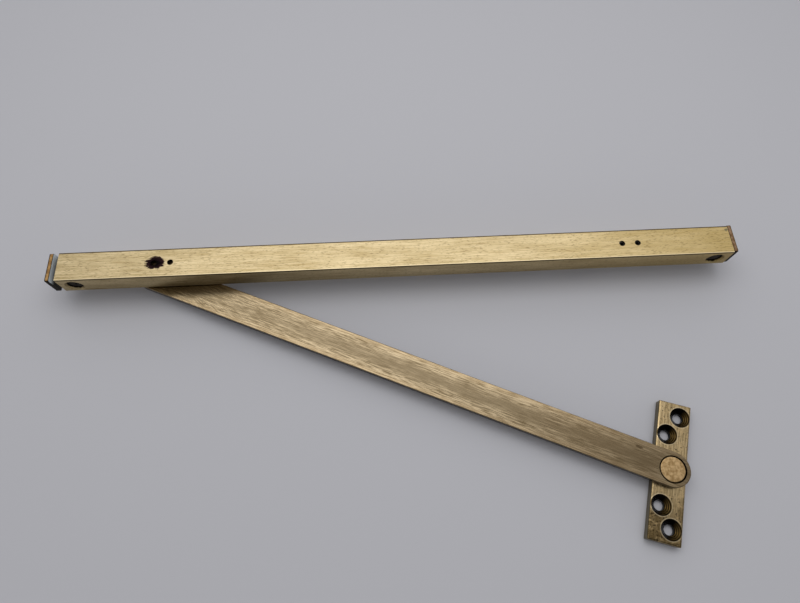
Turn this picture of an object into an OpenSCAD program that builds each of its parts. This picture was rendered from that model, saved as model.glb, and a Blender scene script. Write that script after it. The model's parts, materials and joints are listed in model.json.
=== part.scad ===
// Overhead door holder: a slotted brass channel is screwed across the face of a door, and an arm runs from
// a slide in the channel to a bracket on the frame. A sprung buffer with a clip stops and holds the slide.
// X runs along the channel, Y points to the door, and Z is square to the plane that the arm swings in.
// The origin lies on the channel's back face, midway between its two screw holes. Sizes are in millimetres.

/* [Channel] */
// Length of the channel
channel_len = 539.75; // [480:0.25:640]
// Width of the channel, front to back
channel_w = 24.4; // [24:0.1:32]
// Height of the channel
channel_h = 19.05; // [18.5:0.05:26]
// Thickness of the channel's walls
channel_wall = 2.4; // [1.8:0.1:2.6]
// Width of the slot along the channel's underside
slot_w = 11; // [10:0.1:13]
// Radius on the channel's long outer edges
channel_edge_r = 0.5; // [0.2:0.1:1]

/* [Screw holes] */
// Distance from a channel end to its screw axis
screw_inset = 11.1; // [11:0.1:16]
// Height of the screw axes above the channel's underside
screw_rise = 8.4; // [8.2:0.1:10]
// Diameter of every screw hole
screw_hole_d = 7.4; // [5:0.1:8]
// Diameter of every countersink at the surface
countersink_d = 14.7; // [11:0.1:16]
// Included angle of every countersink
countersink_angle = 82; // [80:1:100]

/* [Stop pin holes] */
// Diameter of the pin holes in the channel's top
pin_hole_d = 4.7; // [3:0.1:5.5]
// Distance from a channel end to the nearer pin hole
pin_inset = 76.2; // [60:0.1:90]
// Distance between the two pin holes of a pair
pin_pitch = 12.7; // [10:0.1:20]
// How far the pins lie below the channel's top
pin_recess = 1.2; // [0.4:0.1:1.4]
// How deep the pins reach into the stop block
pin_grip = 4; // [3:0.1:4.2]
// Wall of the rolled pins
pin_wall = 0.8; // [0.5:0.1:1]

/* [Channel ends] */
// Length of an end block inside the channel
block_len = 25.4; // [22:0.1:32]
// Thickness of an end plate
plate_t = 3.2; // [1.5:0.1:4]
// Diameter of the spigot behind an end plate
spigot_d = 6; // [4:0.1:8]
// Length of that spigot
spigot_len = 6; // [5:0.1:6.2]
// Radius on the corners of an end plate
plate_corner_r = 1.2; // [0.5:0.1:2]
// How far the loose left plate stands off the channel
left_plate_gap = 4; // [0.1:0.1:4.8]
// How far the right plate has crept on its spigot towards the door
right_plate_creep = 0.8; // [0:0.1:1.2]

/* [Slide] */
// Distance from the channel's left end to the slide's pivot, as it lies
slide_rest = 68; // [50:0.5:300]
// Length of the slide's block
slide_len = 44; // [36:0.5:60]
// Radius on the slide's long edges
slide_edge_r = 0.5; // [0.2:0.1:1]
// Length of the neck that runs in the slot
neck_len = 30; // [20:0.5:34]
// How far the neck stands out of the slot
neck_drop = 0.3; // [0.2:0.05:1]
// Diameter of the round knob on the slide's nose
knob_d = 12; // [10:0.1:12.4]
// Height of the knob and its stem
knob_h = 10; // [6:0.1:12]
// Width of the stem behind the knob
stem_w = 6; // [4:0.1:7]
// Distance from the slide's face to the knob's centre
stem_len = 15; // [14.5:0.1:20]

/* [Sprung buffer] */
// Length of the buffer's block
buffer_len = 26; // [24:0.5:40]
// How far the buffer can be pushed in
buffer_travel = 12; // [12:0.5:14]
// Length of the spring at rest
spring_len = 40; // [36:0.5:50]
// Mean diameter of the spring's coils
spring_d = 11; // [9.5:0.1:12]
// Diameter of the spring's wire
wire_d = 1.8; // [1.2:0.1:2.2]
// Number of open coils between the closed end coils
spring_turns = 7; // [4:1:9]
// Number of closed coils at each end
end_coils = 1; // [1:1:2]
// Diameter of the guide bolt's shank
bolt_d = 4; // [3.5:0.1:5]
// Diameter of the guide bolt's head
bolt_head_d = 6.6; // [6:0.1:7.4]
// Height of the guide bolt's head
bolt_head_h = 4; // [3:0.1:5]
// Depth of the well beyond the bolt's head when the buffer is pushed in
head_room = 2; // [1:0.5:4]
// Radial play of the bolt in the buffer
bolt_play = 0.1; // [0.05:0.05:0.3]
// How deep the bolt is screwed into the stop block
bolt_grip = 14; // [8:0.5:18]
// Length of the stop block beyond each pin
stop_margin = 8; // [6:0.5:14]

/* [Hold-open clip] */
// Thickness of the clip's spring strip
clip_t = 0.9; // [0.6:0.05:1.2]
// Space between the clip's edges and the buffer's top and bottom
clip_inset = 0.6; // [0.3:0.1:1]
// How far each bump of the clip closes in behind the knob
clip_bump = 2.4; // [1.5:0.1:2.8]
// Length of each bump along its leg
bump_len = 8; // [6:0.1:9]
// How far the bumps' middle comes back over the knob
bump_nip = 0.2; // [0:0.1:0.5]
// Length of the flared lip at the clip's mouth
lip_len = 3.2; // [2:0.1:4]
// How far each lip flares out
lip_flare = 1.2; // [0.5:0.1:1.4]
// Space between the knob and the clip's legs
clip_gap = 0.4; // [0.3:0.05:0.8]
// Space between the knob and the rivet heads behind it
knob_play = 0.4; // [0.3:0.05:0.8]
// Diameter of the clip's rivets
clip_rivet_d = 1.6; // [1.2:0.1:1.8]
// Diameter of their heads
rivet_head_d = 2.4; // [2:0.1:2.5]
// Thickness of their heads
rivet_head_t = 0.8; // [0.5:0.1:1.2]
// How deep the rivets reach into the buffer
rivet_grip = 9; // [5:0.5:12]
// Diameter of the bumper pad inside the clip
pad_d = 6; // [4:0.1:7]
// Diameter of the pad's stem through the clip
pad_stem_d = 3; // [2:0.1:3.4]
// Width and thickness of the lip behind the clip that keeps the pad in
pad_lip = 0.8; // [0.4:0.1:1]

/* [Arm] */
// Distance between the arm's two pivots
arm_reach = 428.6; // [300:0.1:480]
// Width of the arm
arm_w = 25.4; // [22:0.1:32]
// Thickness of the arm
arm_t = 4.8; // [4:0.1:7]
// Radius on the arm's edges
arm_edge_r = 0.6; // [0.2:0.1:1]
// Angle of the arm from the channel, as it lies
arm_angle = -24; // [-80:0.1:0]

/* [Pivots] */
// Diameter of both pivot shanks
pivot_d = 8; // [6:0.1:9]
// Diameter of both pivot heads
pivot_head_d = 18; // [15:0.1:19]
// Thickness of both pivot heads
pivot_head_t = 2.4; // [1.8:0.1:3]
// Radius on the rims of both pivot heads
head_rim_r = 0.6; // [0.2:0.1:1]
// Space round each pivot head in its counterbore
head_gap = 0.9; // [0.3:0.1:1]
// Diameter of the closed-over end of each pivot
pivot_tail_d = 11.6; // [10.5:0.1:12]
// Depth of that closed-over end
pivot_tail_t = 1.9; // [1.5:0.1:2.4]
// Outer diameter of the washers
washer_d = 21; // [18:0.1:23]
// Thickness of the washer on the slide
slide_washer_t = 0.6; // [0.4:0.05:1]
// Thickness of the washer on the bracket
bracket_washer_t = 0.4; // [0.3:0.05:1]

/* [Frame bracket] */
// Length of the bracket
bracket_len = 101.6; // [98:0.1:140]
// Width of the bracket
bracket_w = 23.8; // [23.6:0.1:36]
// Thickness of the bracket
bracket_t = 7.1; // [6.5:0.1:10]
// Radius on the bracket's corners and edges
bracket_edge_r = 1.2; // [0.3:0.1:1.5]
// Distance between the outer screw holes
outer_pitch = 81.2; // [78:0.1:82]
// Distance between the inner screw holes
inner_pitch = 51.4; // [48:0.1:54]
// How far the outer holes lie to one side of the middle
outer_shift = 4.1; // [0:0.1:4.2]
// How far the inner holes lie to the other side
inner_shift = 4.2; // [0:0.1:4.2]
// Angle of the bracket from square to the channel, as it lies
bracket_angle = -17.9; // [-80:0.1:80]

/* [Clearances] */
// Gap on each side of a pressed-in piece
press_gap = 0.05; // [0.02:0.01:0.1]
// Gap on each side of a sliding piece
run_gap = 0.3; // [0.2:0.05:0.4]
// Radial gap of a turning pivot
pivot_gap = 0.05; // [0.02:0.01:0.1]
// Radial gap round a closed-over end in its countersink
tail_gap = 0.15; // [0.05:0.05:0.3]
// End play between faces that turn on each other
end_play = 0.05; // [0.02:0.01:0.15]

/* [Hidden] */
$fn = 64;

// Colours of the finishes
satin_brass = [0.80, 0.66, 0.40];
antique_brass = [0.55, 0.43, 0.27];
bronze = [0.66, 0.45, 0.25];
bright_brass = [0.78, 0.58, 0.33];
zinc_grey = [0.62, 0.63, 0.66];
dark_steel = [0.22, 0.21, 0.20];
white_nylon = [0.86, 0.84, 0.78];
black_rubber = [0.10, 0.10, 0.10];

// Overrun of every cut past the face it leaves
overrun = 1;
// Recess of a flush head below its face
flush_recess = 0.1;

// Levels across the stack, from the channel down to the bracket's foot
channel_bottom = -screw_rise;
channel_top = channel_bottom + channel_h;
neck_bottom = channel_bottom - neck_drop;
arm_top = neck_bottom - slide_washer_t - end_play;
arm_bottom = arm_top - arm_t;
bracket_top = arm_bottom - end_play - bracket_washer_t;
bracket_bottom = bracket_top - bracket_t;

// The track inside the channel
track_y = -channel_w / 2;
track_z = channel_bottom + channel_h / 2;
cavity_w = channel_w - 2 * channel_wall;
cavity_h = channel_h - 2 * channel_wall;
run_w = cavity_w - 2 * run_gap;
run_h = cavity_h - 2 * run_gap;
neck_w = slot_w - 2 * run_gap;

// Depth of a countersink down to its screw hole
countersink_depth = (countersink_d - screw_hole_d) / 2 / tan(countersink_angle / 2);

// Depth of the counterbores over the pivot heads
head_depth = pivot_head_t + flush_recess + end_play;

// Places along the track, from the channel's left end
stop_len = pin_pitch + 2 * stop_margin;
stop_mid = channel_len - pin_inset - pin_pitch / 2;
stop_face = stop_mid - stop_len / 2;
buffer_back = stop_face - spring_len;
buffer_face = buffer_back - buffer_len;

// The hold-open clip: places are measured from the strip's front face towards the slide
clip_h = run_h - 2 * clip_inset;
knob_room = rivet_head_t + knob_play;
bump_half = bump_len / 2;
bump_place = knob_room + knob_d - bump_nip;
leg_len = bump_place + bump_half + lip_len;
leg_y = knob_d / 2 + clip_gap;
bend_r = clip_t;
rivet_rise = (bolt_head_d / 2 + run_gap + clip_h / 2) / 2;

// The guide bolt in the buffer
bolt_well = buffer_travel + bolt_head_h + head_room;

// A rectangle centred on the origin, with its corners rounded
module rounded_rect(w, h, r) {
    square([w - 2 * r, h], center = true);
    square([w, h - 2 * r], center = true);
    for (x = [-1, 1], y = [-1, 1])
        translate([x * (w / 2 - r), y * (h / 2 - r)])
            circle(r);
}

// Extrudes a section along X, both ways from the middle
module along_x(len) {
    rotate([90, 0, 90])
        linear_extrude(len, center = true)
            children();
}

// Moves to a distance from the channel's left end, at the middle of the track
module on_track(place) {
    translate([place - channel_len / 2, track_y, track_z])
        children();
}

// Moves to the slide's pivot on the channel's middle plane, at the screw axes' height
module at_slide() {
    translate([slide_rest - channel_len / 2, track_y, 0])
        children();
}

// Moves to the bracket's pivot, turned with the arm
module at_bracket_pivot() {
    at_slide()
        rotate(arm_angle)
            translate([arm_reach, 0, 0])
                children();
}

// Moves to the bracket's pivot, turned with the bracket
module on_bracket() {
    at_bracket_pivot()
        rotate(bracket_angle - arm_angle)
            children();
}

// A countersunk hole bored down from the origin
module countersunk_hole(depth) {
    translate([0, 0, -depth - overrun])
        cylinder(d = screw_hole_d, h = depth + 2 * overrun);
    translate([0, 0, -countersink_depth])
        cylinder(d1 = screw_hole_d, d2 = countersink_d, h = countersink_depth);
    cylinder(d = countersink_d, h = overrun);
}

// The two door screw holes, bored in from the front
module door_screw_holes() {
    for (side = [-1, 1])
        translate([side * (channel_len / 2 - screw_inset), -channel_w, 0])
            rotate([90, 0, 0])
                countersunk_hole(channel_w);
}

// Places of one pair of pin holes, side -1 at the left end and 1 at the right end
module at_pins(side) {
    for (place = [pin_inset, pin_inset + pin_pitch])
        translate([side * (channel_len / 2 - place), track_y, channel_top])
            children();
}

module channel() {
    color(satin_brass)
        difference() {
            translate([0, track_y, track_z])
                along_x(channel_len)
                    difference() {
                        rounded_rect(channel_w, channel_h, channel_edge_r);
                        square([cavity_w, cavity_h], center = true);
                        translate([-slot_w / 2, -channel_h / 2 - overrun])
                            square([slot_w, channel_h / 2 + overrun]);
                    }
            door_screw_holes();
            for (side = [-1, 1])
                at_pins(side)
                    translate([0, 0, -channel_wall - overrun])
                        cylinder(d = pin_hole_d, h = channel_wall + 2 * overrun);
        }
}

// An end block: it carries the door screw and the end plate's spigot, and its key fills the slot
module end_block(side) {
    key_w = slot_w - 2 * press_gap;
    difference() {
        translate([side * (channel_len - block_len) / 2, track_y, track_z])
            along_x(block_len) {
                square([cavity_w - 2 * press_gap, cavity_h - 2 * press_gap], center = true);
                translate([-key_w / 2, -channel_h / 2])
                    square([key_w, channel_h / 2]);
            }
        door_screw_holes();
        translate([side * (channel_len / 2 + overrun), track_y, track_z])
            rotate([0, -side * 90, 0])
                cylinder(d = spigot_d + 2 * press_gap, h = spigot_len + 2 * overrun - press_gap);
    }
}

module left_end_block() {
    color(zinc_grey)
        end_block(-1);
}

module right_end_block() {
    color(zinc_grey)
        end_block(1);
}

// An end plate of the channel's outline, with the spigot that holds it in its block
module end_plate(side, gap, creep) {
    translate([side * (channel_len / 2 + gap), track_y, track_z]) {
        translate([side * plate_t / 2, creep, 0])
            along_x(plate_t)
                rounded_rect(channel_w, channel_h, plate_corner_r);
        rotate([0, -side * 90, 0])
            cylinder(d = spigot_d, h = spigot_len);
    }
}

module left_end_plate() {
    color(bronze)
        end_plate(-1, left_plate_gap, 0);
}

module right_end_plate() {
    color(bronze)
        end_plate(1, press_gap, right_plate_creep);
}

module stop_block() {
    color(zinc_grey)
        difference() {
            on_track(stop_mid)
                along_x(stop_len)
                    square([cavity_w - 2 * press_gap, cavity_h - 2 * press_gap], center = true);
            at_pins(1)
                translate([0, 0, -channel_wall - pin_grip - press_gap])
                    cylinder(d = pin_hole_d, h = channel_wall + pin_grip);
            on_track(stop_face - overrun)
                rotate([0, 90, 0])
                    cylinder(d = bolt_d + 2 * press_gap, h = bolt_grip + overrun + press_gap);
        }
}

// Rolled pins, each open along one side
module stop_pins() {
    pin_d = pin_hole_d - 2 * press_gap;
    pin_len = channel_wall - pin_recess + pin_grip;
    color(dark_steel)
        at_pins(1)
            translate([0, 0, -pin_recess - pin_len])
                difference() {
                    cylinder(d = pin_d, h = pin_len);
                    translate([0, 0, -overrun])
                        cylinder(d = pin_d - 2 * pin_wall, h = pin_len + 2 * overrun);
                    translate([0, -pin_wall / 2, -overrun])
                        cube([pin_d, pin_wall, pin_len + 2 * overrun]);
                }
}

// A bolt from the stop block through the spring: its head keeps the buffer from being pushed off
module guide_bolt() {
    head_seat = buffer_face + bolt_well - end_play;
    color(dark_steel)
        on_track(0)
            rotate([0, 90, 0]) {
                translate([0, 0, head_seat - bolt_head_h])
                    cylinder(d = bolt_head_d, h = bolt_head_h);
                translate([0, 0, head_seat - overrun])
                    cylinder(d = bolt_d, h = stop_face + bolt_grip - head_seat + overrun);
            }
}

// Height of the spring's wire above its seat after a number of turns: closed coils at both ends
function coil_rise(turn) =
    let (
        open_pitch = (spring_len - (2 * end_coils + 1) * wire_d) / spring_turns,
        closed = min(turn, end_coils) + max(turn - end_coils - spring_turns, 0),
        open = min(max(turn - end_coils, 0), spring_turns)
    )
    wire_d / 2 + closed * wire_d + open * open_pitch;

// A ring of points round the wire at one turn of the spring
function coil_ring(turn, sides) =
    [for (i = [0:sides - 1])
        let (
            a = 360 * i / sides,
            r = spring_d / 2 + wire_d / 2 * cos(a)
        )
        [r * cos(360 * turn), r * sin(360 * turn), coil_rise(turn) + wire_d / 2 * sin(a)]];

module shock_spring() {
    sides = 8;
    steps = 20;
    rings = steps * (spring_turns + 2 * end_coils);
    points = [for (k = [0:rings]) each coil_ring(k / steps, sides)];
    walls = [for (k = [0:rings - 1], i = [0:sides - 1])
        let (j = (i + 1) % sides)
        [k * sides + i, k * sides + j, (k + 1) * sides + j, (k + 1) * sides + i]];
    first_end = [for (i = [0:sides - 1]) sides - 1 - i];
    last_end = [for (i = [0:sides - 1]) rings * sides + i];
    color(dark_steel)
        on_track(buffer_back)
            rotate([0, 90, 0])
                polyhedron(points, concat([first_end], [for (w = walls) [w[3], w[2], w[1], w[0]]], [last_end]));
}

module buffer_block() {
    color(zinc_grey)
        difference() {
            on_track(buffer_face + buffer_len / 2)
                along_x(buffer_len)
                    square([run_w, run_h], center = true);
            on_track(buffer_face - overrun)
                rotate([0, 90, 0]) {
                    cylinder(d = bolt_head_d + 2 * run_gap, h = bolt_well + overrun);
                    cylinder(d = bolt_d + 2 * bolt_play, h = buffer_len + 2 * overrun);
                }
            at_clip_rivets()
                rotate([0, 90, 0])
                    cylinder(d = clip_rivet_d + 2 * press_gap, h = rivet_grip + press_gap);
        }
}

// Places of the clip's rivets on the buffer's face
module at_clip_rivets() {
    for (side = [-1, 1])
        on_track(buffer_face)
            translate([0, 0, side * rivet_rise])
                children();
}

// Half the clear width between the clip's legs at a distance from the strip's front face
function leg_inside(u) =
    let (
        bump_share = abs(u - bump_place) < bump_half ? (1 + cos(180 * (u - bump_place) / bump_half)) / 2 : 0,
        lip_share = max(u - bump_place - bump_half, 0) / lip_len
    )
    leg_y - clip_bump * bump_share + lip_flare * lip_share;

// One half of the strip's face, offset outwards by a thickness, from the mouth round to the bend
function strip_side(offset_t) =
    let (steps = 40, bend_steps = 8, r = bend_r + offset_t)
    concat(
        [for (k = [0:steps])
            let (u = leg_len + (bend_r - leg_len) * k / steps)
            [-u, leg_inside(u) + offset_t]],
        [for (k = [1:bend_steps])
            let (a = 90 - 90 * k / bend_steps)
            [-bend_r + r * cos(a), leg_y - bend_r + r * sin(a)]]
    );

// A list of points turned over the middle line and read backwards
function mirrored(points) =
    [for (k = [len(points) - 1:-1:0]) [points[k][0], -points[k][1]]];

// A strip of spring steel bent to a U: the legs close in behind the knob and flare at the mouth
module hold_open_clip() {
    inner = strip_side(0);
    outer = strip_side(clip_t);
    color(dark_steel)
        difference() {
            on_track(buffer_face - clip_t)
                translate([0, 0, -clip_h / 2])
                    linear_extrude(clip_h)
                        polygon(concat(inner, mirrored(inner), [for (p = outer) [p[0], -p[1]]],
                            [for (k = [len(outer) - 1:-1:0]) outer[k]]));
            at_clip_rivets()
                translate([-clip_t - overrun, 0, 0])
                    rotate([0, 90, 0])
                        cylinder(d = clip_rivet_d + 2 * press_gap, h = clip_t + 2 * overrun);
            on_track(buffer_face - clip_t - overrun)
                rotate([0, 90, 0])
                    cylinder(d = pad_stem_d + 2 * press_gap, h = clip_t + 2 * overrun);
        }
}

module clip_rivets() {
    color(zinc_grey)
        at_clip_rivets()
            rotate([0, 90, 0]) {
                translate([0, 0, -clip_t - rivet_head_t])
                    cylinder(d = rivet_head_d, h = rivet_head_t);
                translate([0, 0, -clip_t - rivet_head_t / 2])
                    cylinder(d = clip_rivet_d, h = clip_t + rivet_head_t / 2 + rivet_grip);
            }
}

// A rubber button that snaps through the clip and takes the knob's blow
module bumper_pad() {
    color(black_rubber)
        on_track(buffer_face)
            rotate([0, 90, 0]) {
                translate([0, 0, -clip_t - knob_room + run_gap])
                    cylinder(d = pad_d, h = knob_room - run_gap);
                translate([0, 0, -clip_t - pad_lip])
                    cylinder(d = pad_stem_d, h = clip_t + 2 * pad_lip);
                cylinder(d = pad_stem_d + pad_lip, h = pad_lip);
            }
}

// The slide: a block in the track, a long neck in the slot, and a knob for the clip
module slide_block() {
    neck_h = track_z - neck_bottom;
    color(bronze)
        difference() {
            union() {
                on_track(slide_rest) {
                    along_x(slide_len)
                        rounded_rect(run_w, run_h, slide_edge_r);
                    translate([slide_len / 2 + stem_len, 0, -knob_h / 2])
                        cylinder(d = knob_d, h = knob_h);
                    translate([0, -stem_w / 2, -knob_h / 2])
                        cube([slide_len / 2 + stem_len, stem_w, knob_h]);
                }
                at_slide()
                    translate([0, 0, neck_bottom])
                        linear_extrude(neck_h) {
                            square([neck_len - neck_w, neck_w], center = true);
                            for (side = [-1, 1])
                                translate([side * (neck_len - neck_w) / 2, 0])
                                    circle(d = neck_w);
                        }
            }
            at_slide() {
                translate([0, 0, neck_bottom - overrun])
                    cylinder(d = pivot_d + 2 * press_gap, h = channel_h + 2 * overrun);
                translate([0, 0, track_z + run_h / 2 - pivot_tail_t - flush_recess])
                    cylinder(d = pivot_tail_d + 2 * press_gap, h = pivot_tail_t + flush_recess + overrun);
            }
        }
}

// A washer standing on a level
module washer(level, thickness) {
    translate([0, 0, level])
        difference() {
            cylinder(d = washer_d, h = thickness);
            translate([0, 0, -overrun])
                cylinder(d = pivot_d + 2 * press_gap, h = thickness + 2 * overrun);
        }
}

// Half the section of a pivot's head, with its rim rounded over
module head_profile() {
    square([pivot_head_d / 2 - head_rim_r, pivot_head_t]);
    square([pivot_head_d / 2, pivot_head_t - head_rim_r]);
    translate([pivot_head_d / 2 - head_rim_r, pivot_head_t - head_rim_r])
        circle(head_rim_r);
}

// The stud: its head lies flush in the arm's underside and its tail is closed over in the slide's top
module arm_stud() {
    head_face = arm_bottom + flush_recess;
    tail_face = track_z + run_h / 2 - flush_recess;
    color(bright_brass)
        at_slide() {
            translate([0, 0, head_face + pivot_head_t])
                mirror([0, 0, 1])
                    rotate_extrude()
                        head_profile();
            translate([0, 0, head_face + pivot_head_t / 2])
                cylinder(d = pivot_d, h = tail_face - head_face - pivot_head_t / 2);
            translate([0, 0, tail_face - pivot_tail_t + press_gap])
                cylinder(d = pivot_tail_d, h = pivot_tail_t - press_gap);
        }
}

module stud_washer() {
    color(white_nylon)
        at_slide()
            washer(neck_bottom - slide_washer_t, slide_washer_t);
}

// A round end of the arm, with its rim rounded top and bottom
module arm_end() {
    rotate_extrude()
        intersection() {
            rounded_rect(arm_w, arm_t, arm_edge_r);
            translate([0, -arm_t])
                square([arm_w, 2 * arm_t]);
        }
}

module arm() {
    bore = pivot_d + 2 * pivot_gap;
    head_bore = pivot_head_d + 2 * head_gap;
    color(antique_brass)
        at_slide()
            rotate(arm_angle)
                difference() {
                    translate([0, 0, arm_top - arm_t / 2]) {
                        translate([arm_reach / 2, 0, 0])
                            along_x(arm_reach)
                                rounded_rect(arm_w, arm_t, arm_edge_r);
                        arm_end();
                        translate([arm_reach, 0, 0])
                            arm_end();
                    }
                    for (place = [0, arm_reach])
                        translate([place, 0, arm_bottom - overrun])
                            cylinder(d = bore, h = arm_t + 2 * overrun);
                    translate([0, 0, arm_bottom - overrun])
                        cylinder(d = head_bore, h = head_depth + overrun);
                    translate([arm_reach, 0, arm_top - head_depth])
                        cylinder(d = head_bore, h = head_depth + overrun);
                }
}

// The rivet: its head lies flush in the arm's top and its tail is closed over in the bracket's foot
module bracket_rivet() {
    head_face = arm_top - flush_recess;
    tail_face = bracket_bottom + flush_recess;
    color(bright_brass)
        at_bracket_pivot() {
            translate([0, 0, head_face - pivot_head_t])
                rotate_extrude()
                    head_profile();
            translate([0, 0, tail_face])
                cylinder(d = pivot_d, h = head_face - tail_face - pivot_head_t / 2);
            translate([0, 0, tail_face])
                cylinder(d1 = pivot_tail_d, d2 = pivot_d, h = pivot_tail_t);
        }
}

module bracket_washer() {
    color(white_nylon)
        at_bracket_pivot()
            washer(bracket_top, bracket_washer_t);
}

// A bar with its corners and edges rounded: the common part of its plan, its side and its section
module rounded_bar(len, width, thickness, r) {
    intersection() {
        linear_extrude(thickness, center = true)
            rounded_rect(width, len, r);
        rotate([90, 0, 0])
            linear_extrude(len, center = true)
                rounded_rect(width, thickness, r);
        along_x(width)
            rounded_rect(len, thickness, r);
    }
}

// The bracket: its four screw holes stand in two staggered pairs
module frame_bracket() {
    color(antique_brass)
        on_bracket()
            difference() {
                translate([0, 0, bracket_top - bracket_t / 2])
                    rounded_bar(bracket_len, bracket_w, bracket_t, bracket_edge_r);
                for (side = [-1, 1]) {
                    translate([outer_shift, side * outer_pitch / 2, bracket_top])
                        countersunk_hole(bracket_t);
                    translate([-inner_shift, side * inner_pitch / 2, bracket_top])
                        countersunk_hole(bracket_t);
                }
                translate([0, 0, bracket_bottom - overrun])
                    cylinder(d = pivot_d + 2 * press_gap, h = bracket_t + 2 * overrun);
                translate([0, 0, bracket_bottom])
                    cylinder(d1 = pivot_tail_d + 2 * tail_gap, d2 = pivot_d,
                        h = pivot_tail_t + flush_recess + press_gap);
            }
}

channel();
left_end_block();
right_end_block();
left_end_plate();
right_end_plate();
stop_block();
stop_pins();
guide_bolt();
shock_spring();
buffer_block();
hold_open_clip();
clip_rivets();
bumper_pad();
slide_block();
arm_stud();
stud_washer();
arm();
bracket_rivet();
bracket_washer();
frame_bracket();
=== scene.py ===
# %% [markdown]
# # A brass overhead door holder
# The holder lies on a table as it came off its door: a slotted brass channel, a flat arm that runs
# from a slide in the channel, and a thick bracket at the arm's far end. The solid model gives every
# piece its place and size. This lesson gives the pieces their finishes, lays them on a pale floor
# and looks down on them as the photograph does. Everything is in metres, in the solid model's own
# frame: X along the channel, Y to the door, Z up.

import json
import math

import bpy
import numpy as np
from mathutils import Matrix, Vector


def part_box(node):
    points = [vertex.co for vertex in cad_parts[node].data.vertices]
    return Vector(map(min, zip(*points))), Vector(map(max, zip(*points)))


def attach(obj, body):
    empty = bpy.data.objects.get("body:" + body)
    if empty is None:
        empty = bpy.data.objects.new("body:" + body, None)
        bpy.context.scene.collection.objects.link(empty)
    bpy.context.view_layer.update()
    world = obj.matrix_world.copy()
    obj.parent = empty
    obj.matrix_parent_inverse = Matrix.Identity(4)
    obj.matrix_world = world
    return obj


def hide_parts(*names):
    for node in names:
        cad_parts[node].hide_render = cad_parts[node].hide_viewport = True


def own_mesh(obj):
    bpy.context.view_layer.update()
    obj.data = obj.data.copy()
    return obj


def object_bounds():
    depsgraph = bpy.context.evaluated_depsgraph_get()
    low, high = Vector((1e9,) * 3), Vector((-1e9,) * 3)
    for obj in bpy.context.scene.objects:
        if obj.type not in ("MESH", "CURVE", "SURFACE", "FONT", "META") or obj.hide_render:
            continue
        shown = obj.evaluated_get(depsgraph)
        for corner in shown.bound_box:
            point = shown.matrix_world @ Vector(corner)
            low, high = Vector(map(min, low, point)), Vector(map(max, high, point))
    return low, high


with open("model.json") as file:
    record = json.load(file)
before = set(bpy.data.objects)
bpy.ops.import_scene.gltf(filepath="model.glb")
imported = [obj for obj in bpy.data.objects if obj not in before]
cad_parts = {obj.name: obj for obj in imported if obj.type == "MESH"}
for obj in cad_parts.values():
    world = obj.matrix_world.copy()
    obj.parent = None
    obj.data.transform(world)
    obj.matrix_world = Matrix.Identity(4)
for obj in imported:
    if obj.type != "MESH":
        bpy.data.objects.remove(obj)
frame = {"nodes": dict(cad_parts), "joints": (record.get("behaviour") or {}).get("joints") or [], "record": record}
nodes = frame["nodes"]
joints = {joint["name"]: joint for joint in frame["joints"]}
mounts = {mount["name"]: mount for mount in frame["record"]["mounts"]}
cad_low, cad_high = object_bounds()
MM = 0.001
print("pieces in the frame:", len(nodes))

# %% [markdown]
# ## Reading places off the frame
# A finish often follows a place: a stain round one hole, dark rings in each countersink, brush
# lines along the arm. Those places are read from the frame, so they stay right when a size changes.
# The arm's line runs from its stud to its rivet, and the bracket's line runs through the holes of
# each pair.

# %% Places and directions
stud = np.array(joints["arm_swing"]["pos_m"])
pivot = np.array(joints["bracket_swing"]["pos_m"])
arm_angle = math.atan2(*(pivot - stud)[1::-1])
outer_pair, inner_pair = mounts["frame_outer_screws"], mounts["frame_inner_screws"]
outer_mid, inner_mid = np.array(outer_pair["pos_m"]), np.array(inner_pair["pos_m"])
across_angle = math.atan2(*(outer_mid - inner_mid)[1::-1])
bracket_angle = across_angle + math.pi / 2
along = np.array([math.cos(bracket_angle), math.sin(bracket_angle), 0.0])
bracket_holes = [np.array(pair["pos_m"]) + side * pair["dims"]["pcd_mm"] / 2 * MM * along
                 for pair in (outer_pair, inner_pair) for side in (-1, 1)]
channel_low, channel_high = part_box("channel")
arm_low, arm_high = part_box("arm")
print("arm at %.1f degrees, bracket at %.1f degrees" % (math.degrees(arm_angle), math.degrees(bracket_angle)))

# %% [markdown]
# ## The camera
# The photograph was taken from above the front of the holder with a wide lens, so the right end of
# the channel and the bracket look smaller than they would from far off. The place, the turn and the
# focal length come from matching the model's corners to the picture's, and are kept as plain
# numbers. The image is 800 by 603.

# %% Camera
CAMERA_PLACE = (-11.3 * MM, -224.65 * MM, 409.75 * MM)
CAMERA_TURN = (23.11, -0.30, -2.84)
CAMERA_LENS_MM, SENSOR_MM, NEAR_MM = 25.36, 36.0, 10.0
camera_data = bpy.data.cameras.new("camera")
camera_data.sensor_width = SENSOR_MM
camera_data.lens = CAMERA_LENS_MM
camera_data.clip_start = NEAR_MM * MM
camera = bpy.data.objects.new("camera", camera_data)
camera.location = CAMERA_PLACE
camera.rotation_euler = [math.radians(turn) for turn in CAMERA_TURN]
bpy.context.scene.collection.objects.link(camera)
bpy.context.scene.camera = camera
print("camera %.0f mm above the arm" % ((CAMERA_PLACE[2] - arm_high.z) / MM))

# %% [markdown]
# ## Small helpers for materials
# Colours are picked as sRGB hex values, as a paint chart gives them, but a shader wants linear
# light, so one function converts them. Another adds a node with its settings and links, which keeps
# each finish readable as a list of what it is made from. A smooth step turns a noise into a mask,
# and the mask blends two colours.

# %% Helpers


def colour(code):
    """Linear RGBA of an sRGB hex code: c / 12.92 up to 0.04045, and ((c + 0.055) / 1.055) ** 2.4 above."""
    srgb = np.array([int(code[i:i + 2], 16) for i in (1, 3, 5)]) / 255
    linear = np.where(srgb <= 0.04045, srgb / 12.92, ((srgb + 0.055) / 1.055) ** 2.4)
    return (*linear.tolist(), 1.0)


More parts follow.
